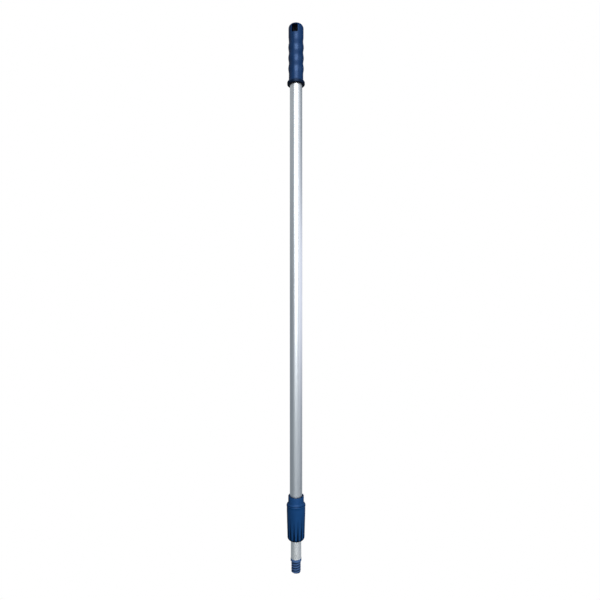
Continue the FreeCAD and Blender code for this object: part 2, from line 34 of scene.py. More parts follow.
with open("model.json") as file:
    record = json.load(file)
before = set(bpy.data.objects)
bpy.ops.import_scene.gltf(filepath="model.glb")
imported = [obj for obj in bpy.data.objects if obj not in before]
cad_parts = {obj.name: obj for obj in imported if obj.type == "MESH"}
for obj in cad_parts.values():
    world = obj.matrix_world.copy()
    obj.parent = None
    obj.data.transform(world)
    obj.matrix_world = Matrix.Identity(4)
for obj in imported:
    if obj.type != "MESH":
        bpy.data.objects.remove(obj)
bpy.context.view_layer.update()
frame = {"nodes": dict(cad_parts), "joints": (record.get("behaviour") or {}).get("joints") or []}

MM = 0.001
FULL_TURN = 2 * math.pi


# ---------------------------------------------------------------- places read from the frame

def span(node):
    """Lowest and highest Z of a CAD node."""
    low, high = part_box(node)
    return low.z, high.z


def widest(node):
    """Largest radius of a round CAD node."""
    low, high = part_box(node)
    return max(high.x, high.y, -low.x, -low.y)


TIP_END, TIP_STEM_TOP = span("threaded_tip")
TUBE_FOOT, INNER_TOP = span("inner_tube")
NUT_FOOT, NUT_HEAD = span("lock_nut")
SLEEVE_FOOT, SLEEVE_TOP = span("threaded_sleeve")
OUTER_FOOT, OUTER_TOP = span("outer_tube")
GRIP_FOOT, GRIP_TOP = span("handle_grip")
OUTER_R = widest("outer_tube")
INNER_R = widest("inner_tube")
NUT_R = widest("lock_nut")
SLEEVE_R = widest("threaded_sleeve")
FLANGE_R = widest("handle_grip")
COLLAR_R = widest("threaded_tip")


# ---------------------------------------------------------------- sizes that several sections share

WALL = 1.2 * MM
FIT = 0.02 * MM
TIP_CREST_R = 9.5 * MM
SLOT_WIDTH = 12.4 * MM
SLOT_FOOT = 1057.0 * MM
SLOT_TOP = 1073.4 * MM
NUT_WAIST_R = 17.3 * MM
NUT_END_ROUND = 6.0 * MM
NUT_BODY_R = 18.7 * MM
NUT_TAPER_TOP = 100.0 * MM
CAMERA_TURN = math.radians(10.0)
CAMERA_FACING = math.radians(-90.0) + CAMERA_TURN


# ---------------------------------------------------------------- mesh helpers

ON_AXIS = 1e-7


def shade(mesh, sharp):
    """Shade a mesh smooth, with the corners steeper than an angle in degrees kept crisp."""
    mesh.shade_smooth()
    mesh.set_sharp_from_angle(angle=math.radians(sharp))


def finish_mesh(name, built, sharp):
    """Turn a bmesh into a linked object."""
    bmesh.ops.recalc_face_normals(built, faces=built.faces)
    mesh = bpy.data.meshes.new(name)
    built.to_mesh(mesh)
    built.free()
    shade(mesh, sharp)
    piece = bpy.data.objects.new(name, mesh)
    bpy.context.scene.collection.objects.link(piece)
    return piece


def as_drawn(radius, height, angle):
    """The relief of a plain turned piece: none."""
    return radius, height


def add_ring(built, radius, height, segments, relief):
    """One level of a turned mesh: a ring of points, or a single point on the axis."""
    if radius < ON_AXIS:
        return [built.verts.new((0.0, 0.0, height))]
    ring = []
    for step in range(segments):
        angle = FULL_TURN * step / segments
        r, z = relief(radius, height, angle)
        ring.append(built.verts.new((r * math.cos(angle), r * math.sin(angle), z)))
    return ring


def join_rings(built, lower, upper):
    """The faces between two neighbouring levels of a turned mesh."""
    segments = max(len(lower), len(upper))
    if segments == 1:
        return
    for step in range(segments):
        after = (step + 1) % segments
        if len(lower) == 1:
            built.faces.new((lower[0], upper[after], upper[step]))
        elif len(upper) == 1:
            built.faces.new((lower[step], lower[after], upper[0]))
        else:
            built.faces.new((lower[step], lower[after], upper[after], upper[step]))


def lathe(name, outline, segments, sharp, relief=as_drawn):
    """Turn a closed outline of (radius, height) about Z. relief(radius, height, angle) moves a point."""
    built = bmesh.new()
    rings = [add_ring(built, radius, height, segments, relief) for radius, height in outline]
    for lower, upper in zip(rings, rings[1:] + rings[:1]):
        join_rings(built, lower, upper)
    return finish_mesh(name, built, sharp)


def straight(start, end, step):
    """Points from start up to, but not including, end, about a step apart."""
    start, end = Vector(start), Vector(end)
    count = max(1, round((end - start).length / step))
    return [tuple(start.lerp(end, i / count)) for i in range(count)]


def arc(centre, radius, start, end, count=8):
    """Points on an arc in the outline's plane, angles in degrees, both ends included."""
    points = []
    for i in range(count + 1):
        angle = math.radians(start + (end - start) * i / count)
        points.append((centre[0] + radius * math.cos(angle), centre[1] + radius * math.sin(angle)))
    return points


def smooth_step(edge0, edge1, x):
    """0 below edge0, 1 above edge1, and a smooth rise between."""
    t = min(1.0, max(0.0, (x - edge0) / (edge1 - edge0)))
    return t * t * (3 - 2 * t)


def smooth_min(a, b, width):
    """The smaller of two values, with the crease between them rounded over a width."""
    gap = max(width - abs(a - b), 0.0) / width
    return min(a, b) - gap * gap * width * 0.25


def leaning_radius(width, rise):
    """Radius of an arc that leaves a vertical line and moves sideways by a width over a rise."""
    return (width * width + rise * rise) / (width * 2)


def bake(piece):
    """Replace a piece's mesh by what its modifiers make of it."""
    bpy.context.view_layer.update()
    evaluated = piece.evaluated_get(bpy.context.evaluated_depsgraph_get())
    mesh = bpy.data.meshes.new_from_object(evaluated)
    piece.modifiers.clear()
    piece.data = mesh


def cut(piece, cutter):
    """Cut one closed mesh out of another."""
    tool = piece.modifiers.new("cut", "BOOLEAN")
    tool.operation = "DIFFERENCE"
    tool.solver = "EXACT"
    tool.object = cutter
    bake(piece)
    bpy.data.objects.remove(cutter)


# ---------------------------------------------------------------- shader helpers

class Nodes:
    """Short ways to add nodes to a node tree."""

    def __init__(self, tree):
        self.tree = tree

    def node(self, kind, links=None, **settings):
        """Add a node. links maps its inputs to sockets that feed them or to fixed values."""
        made = self.tree.nodes.new(kind)
        for key, value in settings.items():
            setattr(made, key, value)
        for socket, value in (links or {}).items():
            if isinstance(value, bpy.types.NodeSocket):
                self.tree.links.new(value, made.inputs[socket])
            else:
                made.inputs[socket].default_value = value
        return made

    def between(self, value, low, high, to_low, to_high, ease="LINEAR"):
        """Map a value from one range to another, held at both ends."""
        ranged = self.node("ShaderNodeMapRange", {
            "Value": value, "From Min": low, "From Max": high, "To Min": to_low, "To Max": to_high},
            interpolation_type=ease)
        return ranged.outputs["Result"]

    def math(self, operation, a, b=0.0):
        return self.node("ShaderNodeMath", {0: a, 1: b}, operation=operation).outputs["Value"]


class Shader(Nodes):
    """A Principled material and short ways to shade it."""

    def __init__(self, name, **fixed):
        self.material = bpy.data.materials.new(name)
        self.material.use_nodes = True
        super().__init__(self.material.node_tree)
        self.surface = self.tree.nodes["Principled BSDF"]
        self.place = self.node("ShaderNodeTexCoord").outputs["Object"]
        for socket, value in fixed.items():
            self.surface.inputs[socket.replace("_", " ")].default_value = value

    def noise(self, scale, stretch=(1.0, 1.0, 1.0), detail=4.0, roughness=0.55):
        """Noise in the object's own space, squeezed or stretched along its axes."""
        mapping = self.node("ShaderNodeMapping", {"Vector": self.place, "Scale": stretch})
        found = self.node("ShaderNodeTexNoise", {
            "Vector": mapping.outputs["Vector"], "Scale": scale,
            "Detail": detail, "Roughness": roughness})
        return found.outputs["Fac"]

    def mix(self, share, first, second):
        """Blend two colours by a share."""
        mixed = self.node("ShaderNodeMix", data_type="RGBA")
        self.tree.links.new(share, mixed.inputs["Factor"])
        for socket, colour in ((6, first), (7, second)):
            if isinstance(colour, bpy.types.NodeSocket):
                self.tree.links.new(colour, mixed.inputs[socket])
            else:
                mixed.inputs[socket].default_value = (*colour, 1.0)
        return mixed.outputs[2]

    def axis(self, letter):
        """One coordinate in the object's own space. Z runs along the pole."""
        return self.node("ShaderNodeSeparateXYZ", {"Vector": self.place}).outputs[letter]

    def axis_distance(self):
        """Distance from the pole's axis."""
        across = self.math("POWER", self.axis("X"), 2.0)
        along = self.math("POWER", self.axis("Y"), 2.0)
        return self.math("SQRT", self.math("ADD", across, along))

    def bump(self, height, distance, strength):
        raised = self.node("ShaderNodeBump", {"Height": height, "Distance": distance, "Strength": strength})
        self.drive("Normal", raised.outputs["Normal"])

    def drive(self, socket, value):
        """Feed one of the Principled shader's inputs."""
        self.tree.links.new(value, self.surface.inputs[socket])


def darkened(colour, share):
    """A colour with only a share of its light."""
    return tuple(channel * share for channel in colour)


# ---------------------------------------------------------------- metals

DRAWN_LINES = dict(scale=900.0, stretch=(1.0, 1.0, 0.012), detail=6.0, roughness=0.7)
METAL_BLOTCHES = dict(scale=38.0, stretch=(1.0, 1.0, 0.35), detail=3.0)
SCUFF_MARKS = dict(scale=260.0, stretch=(1.0, 1.0, 0.22), detail=5.0, roughness=0.75)
FASTENER_MOTTLING = dict(scale=700.0, detail=3.0)
NOISE_RANGE = (0.3, 0.7)
NOISE_MIDDLE = (0.35, 0.65)
SCUFF_RANGE = (0.58, 0.66)
SCUFF_CORE = 0.3
SCUFF_TONE = 0.55
SCUFF_ROUGHNESS = 0.2
SCUFF_RELIEF = 0.6
METAL_BUMP = 0.02 * MM
METAL_BUMP_STRENGTH = 0.5
LINES_SMOOTHER = 0.05
LINES_ROUGHER = 0.08
FASTENER_TONE = 0.75
FASTENER_ROUGHER = 0.15


def scuffed(shader, zones):
    """0 on clean metal, up to 1 on a scuff. A zone is its lowest Z, its highest Z and its strength."""
    marks = shader.between(shader.noise(**SCUFF_MARKS), *SCUFF_RANGE, 0.0, 1.0)
    height = shader.axis("Z")
    worn = 0.0
    for low, high, strength in zones:
        half = (high - low) / 2
        away = shader.math("ABSOLUTE", shader.math("SUBTRACT", height, (low + high) / 2))
        near = shader.between(away, half * SCUFF_CORE, half, strength, 0.0)
        worn = shader.math("ADD", near, worn)
    return shader.math("MULTIPLY", marks, worn)


def drawn_aluminium(name, light, dark, roughness, scuff_zones):
    """Satin drawn tube: fine lines along its length, faint blotches, and scuffs in given zones."""
    shader = Shader(name, Metallic=1.0)
    lines = shader.noise(**DRAWN_LINES)
    blotches = shader.noise(**METAL_BLOTCHES)
    wear = scuffed(shader, scuff_zones)
    tone = shader.math("ADD", shader.between(lines, *NOISE_RANGE, 0.0, 0.5),
                       shader.between(blotches, *NOISE_RANGE, 0.0, 0.5))
    clean = shader.mix(tone, dark, light)
    shader.drive("Base Color", shader.mix(wear, clean, darkened(dark, SCUFF_TONE)))
    rough = shader.between(lines, *NOISE_RANGE, roughness - LINES_SMOOTHER, roughness + LINES_ROUGHER)
    shader.drive("Roughness", shader.math("ADD", rough, shader.math("MULTIPLY", wear, SCUFF_ROUGHNESS)))
    relief = shader.math("SUBTRACT", lines, shader.math("MULTIPLY", wear, SCUFF_RELIEF))
    shader.bump(relief, METAL_BUMP, METAL_BUMP_STRENGTH)
    return shader.material


def fastener_metal(name, colour, roughness):
    """Small fasteners: metal with a faint mottling."""
    shader = Shader(name, Metallic=1.0)
    mottling = shader.noise(**FASTENER_MOTTLING)
    share = shader.between(mottling, *NOISE_MIDDLE, 0.0, 1.0)
    shader.drive("Base Color", shader.mix(share, darkened(colour, FASTENER_TONE), colour))
    rough = shader.between(mottling, *NOISE_RANGE, roughness, roughness + FASTENER_ROUGHER)
    shader.drive("Roughness", rough)
    shader.bump(mottling, METAL_BUMP, METAL_BUMP_STRENGTH)
    return shader.material


# ---------------------------------------------------------------- plastics

PLASTIC_CLOUD = dict(scale=55.0, detail=3.0)
PLASTIC_SMUDGE = dict(scale=120.0, stretch=(1.0, 1.0, 0.4), detail=4.0)
PLASTIC_GRAIN = dict(scale=2600.0, detail=3.0, roughness=0.6)
SMUDGE_RANGE = (0.35, 0.7)
SMUDGED_GLOSS = 0.85
SMUDGE_SMOOTHER = 0.05
SMUDGE_ROUGHER = 0.1
GRAIN_BUMP = 0.012 * MM
GRAIN_BUMP_STRENGTH = 0.6
# Painted shade: how much of the colour and of the gloss is left where a mask of painted shade is full.
PAINTED_SHADE_TONE = 0.1
PAINTED_SHADE_GLOSS = 0.3
TURNED_RANGE = (0.05, 0.45)
TURNED_GLOSS = 0.1
BLUE_SHEEN = (0.36, 0.56, 1.0, 1.0)
PLAIN_SHEEN = (1.0, 1.0, 1.0, 1.0)

# Where each mask of painted shade starts and where it is full.
FLUTE_SHADE_FROM = 0.02 * MM
FLUTE_SHADE_FULL = 0.6 * MM
THREAD_SHADE_FROM = 0.2 * MM
THREAD_SHADE_FULL = 1.5 * MM
THREAD_SHADE = 0.8
SLOT_SHADE_MARGIN = 0.3 * MM
SLOT_SHADE_END = 0.8 * MM
SLOT_SHADE_DEEP = 10.5 * MM
SLOT_SHADE_MOUTH = 13.5 * MM
FLANGE_SHADE_FULL = 3.5 * MM
FLANGE_SHADE_END = 7.0 * MM
FLANGE_SHADE = 0.85


def flute_painted_shade(shader):
    """0 on the nut's ribs, rising to 1 in the depth of its flutes: painted shade in the flutes."""
    taper_foot = NUT_FOOT + NUT_END_ROUND
    ribs = shader.between(shader.axis("Z"), taper_foot, NUT_TAPER_TOP, NUT_WAIST_R, NUT_BODY_R)
    depth = shader.math("SUBTRACT", ribs, shader.axis_distance())
    return shader.between(depth, FLUTE_SHADE_FROM, FLUTE_SHADE_FULL, 0.0, 1.0)


def thread_painted_shade(shader):
    """0 on the tip's crests and collar, rising in the depth of its thread: painted shade in the thread's
    groove.
    """
    full, none = TIP_CREST_R - THREAD_SHADE_FULL, TIP_CREST_R - THREAD_SHADE_FROM
    return shader.between(shader.axis_distance(), full, none, THREAD_SHADE, 0.0)


def slot_painted_shade(shader):
    """Painted shade: 1 inside the grip's hanging slot, 0 on the grip's outside."""
    side = shader.math("ABSOLUTE", shader.axis("X"))
    deep = shader.math("ABSOLUTE", shader.axis("Y"))
    half = SLOT_WIDTH / 2
    across = shader.between(side, half + SLOT_SHADE_MARGIN, half + SLOT_SHADE_END, 1.0, 0.0)
    inwards = shader.between(deep, SLOT_SHADE_DEEP, SLOT_SHADE_MOUTH, 1.0, 0.0)
    below = shader.between(
        shader.axis("Z"), SLOT_TOP + SLOT_SHADE_MARGIN, SLOT_TOP + SLOT_SHADE_END, 1.0, 0.0)
    return shader.math("MULTIPLY", shader.math("MULTIPLY", across, inwards), below)


def grip_painted_shade(shader):
    """Painted shade in the grip's slot, and on the bead of its flange."""
    full, none = GRIP_FOOT + FLANGE_SHADE_FULL, GRIP_FOOT + FLANGE_SHADE_END
    flange = shader.between(shader.axis("Z"), full, none, FLANGE_SHADE, 0.0)
    return shader.math("MAXIMUM", slot_painted_shade(shader), flange)


def plastic_gloss(shader, smudge, gloss):
    """Soft gloss, duller on smudges and where the surface turns away."""
    shine = shader.between(smudge, *NOISE_RANGE, gloss, gloss * SMUDGED_GLOSS)
    turned = shader.node("ShaderNodeLayerWeight", {"Blend": 0.5}).outputs["Facing"]
    return shader.math("MULTIPLY", shine, shader.between(turned, *TURNED_RANGE, 1.0, TURNED_GLOSS))


def moulded_plastic(name, colour, pale, roughness, gloss, painted_shade=None, sheen=BLUE_SHEEN):
    """Moulded plastic: fine spark-eroded grain, cloudy tone, soft gloss, and painted shade from a given
    mask.
    """
    shader = Shader(name, Specular_Tint=sheen)
    smudge = shader.noise(**PLASTIC_SMUDGE)
    cloud = shader.between(shader.noise(**PLASTIC_CLOUD), *NOISE_MIDDLE, 0.0, 1.0)
    tone = shader.mix(cloud, colour, pale)
    shine = plastic_gloss(shader, smudge, gloss)
    # Painted shade: the mask darkens the colour and dulls the gloss.
    if painted_shade is not None:
        share = painted_shade(shader)
        tone = shader.mix(share, tone, darkened(colour, PAINTED_SHADE_TONE))
        shine = shader.math("MULTIPLY", shine, shader.between(share, 0.0, 1.0, 1.0, PAINTED_SHADE_GLOSS))
    shader.drive("Base Color", tone)
    shader.drive("Specular IOR Level", shine)
    rough = shader.between(smudge, *SMUDGE_RANGE, roughness - SMUDGE_SMOOTHER, roughness + SMUDGE_ROUGHER)
    shader.drive("Roughness", rough)
    shader.bump(shader.noise(**PLASTIC_GRAIN), GRAIN_BUMP, GRAIN_BUMP_STRENGTH)
    return shader.material


# ---------------------------------------------------------------- the pole's materials

OUTER_METAL = drawn_aluminium(
    "outer_aluminium", light=(0.80, 0.83, 0.86), dark=(0.70, 0.735, 0.77), roughness=0.34,
    scuff_zones=[(SLEEVE_TOP, SLEEVE_TOP + 0.05, 0.8), (GRIP_FOOT - 0.03, GRIP_FOOT, 0.4)])
INNER_METAL = drawn_aluminium(
    "inner_aluminium", light=(0.95, 0.97, 0.97), dark=(0.86, 0.88, 0.88), roughness=0.5,
    scuff_zones=[(TUBE_FOOT, TUBE_FOOT + 0.02, 0.8), (NUT_FOOT - 0.01, NUT_FOOT + 0.02, 0.7)])
# The grip, nut and tip carry painted shade: in the grip's slot and on its flange bead, in the nut's flutes,
# in the tip's thread.
GRIP_PLASTIC = moulded_plastic(
    "grip_plastic", colour=(0.0010, 0.0100, 0.037), pale=(0.0015, 0.0122, 0.044),
    roughness=0.25, gloss=0.90, painted_shade=grip_painted_shade)
LOCK_PLASTIC = moulded_plastic(
    "lock_plastic", colour=(0.0026, 0.0190, 0.064), pale=(0.0036, 0.0230, 0.075),
    roughness=0.34, gloss=0.54)
NUT_PLASTIC = moulded_plastic(
    "nut_plastic", colour=(0.0018, 0.0175, 0.060), pale=(0.0026, 0.0210, 0.070),
    roughness=0.34, gloss=0.54, painted_shade=flute_painted_shade)
TIP_PLASTIC = moulded_plastic(
    "tip_plastic", colour=(0.0210, 0.045, 0.105), pale=(0.0250, 0.053, 0.120),
    roughness=0.42, gloss=0.60, painted_shade=thread_painted_shade)
NATURAL_PLASTIC = moulded_plastic(
    "hidden_plastic", colour=(0.70, 0.70, 0.66), pale=(0.76, 0.76, 0.73),
    roughness=0.42, gloss=0.30, sheen=PLAIN_SHEEN)
RIVET_METAL = fastener_metal("rivet_aluminium", (0.72, 0.72, 0.72), 0.32)
PIN_METAL = fastener_metal("pin_steel", (0.50, 0.50, 0.51), 0.35)


def dress(piece, body, material, node):
    """Give a piece its material and its body, and hide the CAD node that it stands for."""
    piece.data.materials.clear()
    piece.data.materials.append(material)
    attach(piece, body)
    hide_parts(node)


def repaint(node, material):
    """Give a CAD node that keeps its own shape a finished material."""
    piece = frame["nodes"][node]
    piece.data.materials.clear()
    piece.data.materials.append(material)


# ---------------------------------------------------------------- tubes

TUBE_SEGMENTS = 192
TUBE_LIP = 0.3 * MM
TUBE_STEP = 0.05


def tube_outline(radius, foot, top):
    """A tube's section with its cut ends lightly broken."""
    bore = radius - WALL
    low, high = foot + TUBE_LIP, top - TUBE_LIP
    return [
        (bore + TUBE_LIP, foot), (radius - TUBE_LIP, foot),
        *straight((radius, low), (radius, high), TUBE_STEP), (radius, high),
        (radius - TUBE_LIP, top), (bore + TUBE_LIP, top),
        *straight((bore, high), (bore, low), TUBE_STEP), (bore, low),
    ]


def make_outer_tube():
    outline = tube_outline(OUTER_R, OUTER_FOOT, OUTER_TOP)
    piece = lathe("outer_tube_looks", outline, TUBE_SEGMENTS, sharp=40)
    dress(piece, "outer_section", OUTER_METAL, "outer_tube")


def make_inner_tube():
    outline = tube_outline(INNER_R, TUBE_FOOT, INNER_TOP)
    piece = lathe("inner_tube_looks", outline, TUBE_SEGMENTS, sharp=40)
    dress(piece, "inner_section", INNER_METAL, "inner_tube")


# ---------------------------------------------------------------- grip

GRIP_SEGMENTS = 160
GRIP_STEPS = 120
GRIP_SHARP = 50
FIRST_VALLEY = 979.0 * MM
BULGE_PITCH = 21.4 * MM
VALLEY_R = 14.5 * MM
BULGE_R = 15.65 * MM
BARREL_R = 15.2 * MM
NECK_R = 14.65 * MM
NECK_GAP = 0.4 * MM
FLANGE_HEIGHT = 7.7 * MM
FLANGE_LOWER_ROUND = 1.6 * MM
FLANGE_UPPER_ROUND = 3.0 * MM
FLANGE_UPPER_TURN = 72
LAST_VALLEY = FIRST_VALLEY + 3 * BULGE_PITCH
BARREL_FOOT = 1054.0 * MM
DOME_HEIGHT = 9.9 * MM
DOME_SHOULDER_R = 11.3 * MM
DOME_SHOULDER_HEIGHT = 6.8 * MM
GRIP_WEB = 6 * MM
SLOT_CORNER = 2.0 * MM
SLOT_EDGE = 0.5 * MM
CUTTER_REACH = 0.03


def grip_side(z):
    """The grip's radius above the flange: a neck, three finger bulges, then the barrel."""
    if z < FIRST_VALLEY:
        return NECK_R + (VALLEY_R - NECK_R) * smooth_step(GRIP_FOOT + FLANGE_HEIGHT, FIRST_VALLEY, z)
    if z > LAST_VALLEY:
        return VALLEY_R + (BARREL_R - VALLEY_R) * smooth_step(LAST_VALLEY, BARREL_FOOT, z)
    swing = math.cos(FULL_TURN * (z - FIRST_VALLEY) / BULGE_PITCH)
    return (VALLEY_R + BULGE_R) / 2 - (BULGE_R - VALLEY_R) / 2 * swing


def flange_outline(flange_top):
    """The flange's bead: a small round below and a larger one above."""
    lower, upper = FLANGE_LOWER_ROUND, FLANGE_UPPER_ROUND
    points = arc((FLANGE_R - lower, GRIP_FOOT + lower), lower, -90, 0)
    return points + arc((FLANGE_R - upper, flange_top - upper), upper, 0, FLANGE_UPPER_TURN)


def dome_outline(foot):
    """The grip's closed end: a round shoulder, then a flatter crown."""
    shoulder_r = leaning_radius(BARREL_R - DOME_SHOULDER_R, DOME_SHOULDER_HEIGHT)
    leans = math.degrees(math.asin(DOME_SHOULDER_HEIGHT / shoulder_r))
    points = arc((BARREL_R - shoulder_r, foot), shoulder_r, 0, leans, count=16)
    crown_r = leaning_radius(DOME_HEIGHT - DOME_SHOULDER_HEIGHT, DOME_SHOULDER_R)
    start = math.degrees(math.acos(DOME_SHOULDER_R / crown_r))
    crown = arc((0.0, GRIP_TOP - crown_r), crown_r, start, 90, count=16)
    return points + crown[1:-1] + [(0.0, GRIP_TOP)]


def grip_outline():
    bore = OUTER_R + FIT
    flange_top = GRIP_FOOT + FLANGE_HEIGHT
    dome_foot = GRIP_TOP - DOME_HEIGHT
    bore_top = SLOT_FOOT - GRIP_WEB
    points = [(bore, GRIP_FOOT), *flange_outline(flange_top)]
    foot = flange_top + NECK_GAP
    for i in range(GRIP_STEPS):
        z = foot + (dome_foot - foot) * i / GRIP_STEPS
        points.append((grip_side(z), z))
    points += dome_outline(dome_foot)
    return points + [(0.0, bore_top), (bore, bore_top)]


def slot_outline():
    """The slot's rounded rectangle, as points of (x, z)."""
    side = SLOT_WIDTH / 2 - SLOT_CORNER
    top, foot = SLOT_TOP - SLOT_CORNER, SLOT_FOOT + SLOT_CORNER
    points = []
    for x, z, start in ((side, top, 0), (-side, top, 90), (-side, foot, 180), (side, foot, 270)):
        points += arc((x, z), SLOT_CORNER, start, start + 90, count=6)
    return points


def slot_cutter():
    """A prism along Y, as wide and high as the slot."""
    built = bmesh.new()
    outline = slot_outline()
    front, back = [
        [built.verts.new((x, y, z)) for x, z in outline] for y in (-CUTTER_REACH, CUTTER_REACH)]
    count = len(outline)
    for i in range(count):
        after = (i + 1) % count
        built.faces.new((front[i], front[after], back[after], back[i]))
    built.faces.new(front[::-1])
    built.faces.new(back)
    return finish_mesh("slot_cutter", built, sharp=40)


def soften_edges(piece, width):
    """Round a piece's crisp edges."""
    edge = piece.modifiers.new("edge", "BEVEL")
    edge.limit_method = "ANGLE"
    edge.angle_limit = math.radians(GRIP_SHARP)
    edge.width = width
    edge.segments = 3
    bake(piece)
    shade(piece.data, GRIP_SHARP)


def make_grip():
    piece = lathe("handle_grip_looks", grip_outline(), GRIP_SEGMENTS, GRIP_SHARP)
    cut(piece, slot_cutter())
    soften_edges(piece, SLOT_EDGE)
    dress(piece, "outer_section", GRIP_PLASTIC, "handle_grip")


# ---------------------------------------------------------------- lock nut

NUT_SEGMENTS = 560
NUT_RIM_HEIGHT = 3.6 * MM
NUT_RIM_SLOPE = 0.1 * MM
NUT_RIM_LIP = 0.2 * MM
NUT_TOP_ROUND = 1.2 * MM
NUT_MOUTH_R = 11.0 * MM
NUT_CAVITY_R = 15.7 * MM
NUT_FLOOR = 57.0 * MM
NUT_EDGE = 0.3 * MM
NUT_END_FROM = -88
NUT_TAPER_STEP = 0.8 * MM
NUT_BODY_STEP = 1.5 * MM
FLUTES = 14
FLUTE_PITCH = FULL_TURN / FLUTES
FLUTE_R = 2.5 * MM
FLUTE_LOW_CIRCLE = 18.33 * MM
FLUTE_HIGH_CIRCLE = 21.11 * MM
FLUTE_FOOT = 39.0 * MM
FLUTE_HEAD = 92.0 * MM
FLUTED_FROM_R = 12 * MM
RIB_ROUND = 0.5 * MM


def flute_wall(z, angle):
    """How far from the axis a flute's bottom lies at a height and angle, or None outside it.

    A rib faces the photograph's camera, so the flutes lie half a pitch to either side of it.
    """
    rise = (z - FLUTE_FOOT) / (FLUTE_HEAD - FLUTE_FOOT)
    circle = FLUTE_LOW_CIRCLE + (FLUTE_HIGH_CIRCLE - FLUTE_LOW_CIRCLE) * rise
    offset = (angle - CAMERA_FACING - FLUTE_PITCH / 2) % FLUTE_PITCH
    offset = min(offset, FLUTE_PITCH - offset)
    across = circle * math.sin(offset)
    if across >= FLUTE_R:
        return None
    return circle * math.cos(offset) - math.sqrt(FLUTE_R * FLUTE_R - across * across)


def nut_relief(radius, z, angle):
    """Press the flutes into the nut's outside."""
    if radius < FLUTED_FROM_R or z > FLUTE_HEAD:
        return radius, z
    wall = flute_wall(z, angle)
    if wall is None:
        return radius, z
    return smooth_min(radius, wall, RIB_ROUND), z


def nut_side():
    """The nut's outside from its rounded foot to its raised rim."""
    waist = NUT_FOOT + NUT_END_ROUND
    rim_foot = NUT_HEAD - NUT_RIM_HEIGHT
    rim_full = rim_foot + NUT_R - NUT_BODY_R
    points = arc((NUT_WAIST_R - NUT_END_ROUND, waist), NUT_END_ROUND, NUT_END_FROM, 0, count=22)
    points += straight((NUT_WAIST_R, waist), (NUT_BODY_R, NUT_TAPER_TOP), NUT_TAPER_STEP)[1:]
    points += straight((NUT_BODY_R, NUT_TAPER_TOP), (NUT_BODY_R, rim_foot), NUT_BODY_STEP)
    return points + [
        (NUT_BODY_R, rim_foot), (NUT_R - NUT_RIM_SLOPE, rim_full), (NUT_R, rim_full + NUT_RIM_LIP),
        *arc((NUT_R - NUT_TOP_ROUND, NUT_HEAD - NUT_TOP_ROUND), NUT_TOP_ROUND, 0, 90)]


def nut_outline():
    return [
        (NUT_MOUTH_R, NUT_FOOT + NUT_EDGE), (NUT_MOUTH_R + NUT_EDGE / 3, NUT_FOOT),
        *nut_side(),
        (NUT_CAVITY_R + NUT_EDGE, NUT_HEAD), (NUT_CAVITY_R, NUT_HEAD - NUT_EDGE),
        (NUT_CAVITY_R, NUT_FLOOR), (NUT_MOUTH_R, NUT_FLOOR)]


def make_nut():
    piece = lathe("lock_nut_looks", nut_outline(), NUT_SEGMENTS, sharp=60, relief=nut_relief)
    dress(piece, "lock_nut", NUT_PLASTIC, "lock_nut")


# ---------------------------------------------------------------- sleeve

SLEEVE_SEGMENTS = 192
SLEEVE_ROOT_R = 14.2 * MM
SLEEVE_BODY_R = 15.75 * MM
SLEEVE_GAP_R = 14.45 * MM
SLEEVE_GAP_FOOT = 126.8 * MM
SLEEVE_RIM_ROUND = 0.5 * MM
SLEEVE_EDGE = 0.25 * MM
SLEEVE_EDGE_TURN = 60
SLEEVE_FLANGE_FOOT = 113.6 * MM
SLEEVE_FLANGE_TOP = SLEEVE_FLANGE_FOOT + 0.8 * MM
SLEEVE_FLARE_HEIGHT = 3.6 * MM
SLEEVE_FLARE_SHARE = 0.92


def sleeve_flange():
    """The thin flange that the nut closes against, with its edge broken."""
    edge = SLEEVE_EDGE
    lower = arc((SLEEVE_R - edge, SLEEVE_FLANGE_FOOT + edge), edge, -90, 0, count=4)
    return lower + arc((SLEEVE_R - edge, SLEEVE_FLANGE_TOP - edge), edge, 0, SLEEVE_EDGE_TURN, count=3)


def sleeve_flare():
    """The hollow curve from the flange in to the sleeve's body."""
    flare_r = leaning_radius(SLEEVE_R - SLEEVE_BODY_R, SLEEVE_FLARE_HEIGHT)
    leans = math.degrees(math.asin(SLEEVE_FLARE_HEIGHT / flare_r))
    centre = (SLEEVE_BODY_R + flare_r, SLEEVE_FLANGE_TOP + SLEEVE_FLARE_HEIGHT)
    return arc(centre, flare_r, 180 + leans * SLEEVE_FLARE_SHARE, 180, count=10)


def sleeve_outline():
    bore = OUTER_R + FIT
    rim = SLEEVE_RIM_ROUND
    return [
        (bore, SLEEVE_FOOT), (SLEEVE_ROOT_R, SLEEVE_FOOT), (SLEEVE_ROOT_R, SLEEVE_FLANGE_FOOT),
        *sleeve_flange(),
        *sleeve_flare(),
        *arc((SLEEVE_BODY_R - rim, SLEEVE_TOP - rim), rim, 0, 90, count=6),
        (SLEEVE_GAP_R + SLEEVE_EDGE, SLEEVE_TOP), (SLEEVE_GAP_R, SLEEVE_TOP - SLEEVE_EDGE),
        (SLEEVE_GAP_R, SLEEVE_GAP_FOOT), (bore, SLEEVE_GAP_FOOT)]


def make_sleeve():
    piece = lathe("threaded_sleeve_looks", sleeve_outline(), SLEEVE_SEGMENTS, sharp=50)
    dress(piece, "outer_section", LOCK_PLASTIC, "threaded_sleeve")


# ---------------------------------------------------------------- threaded tip

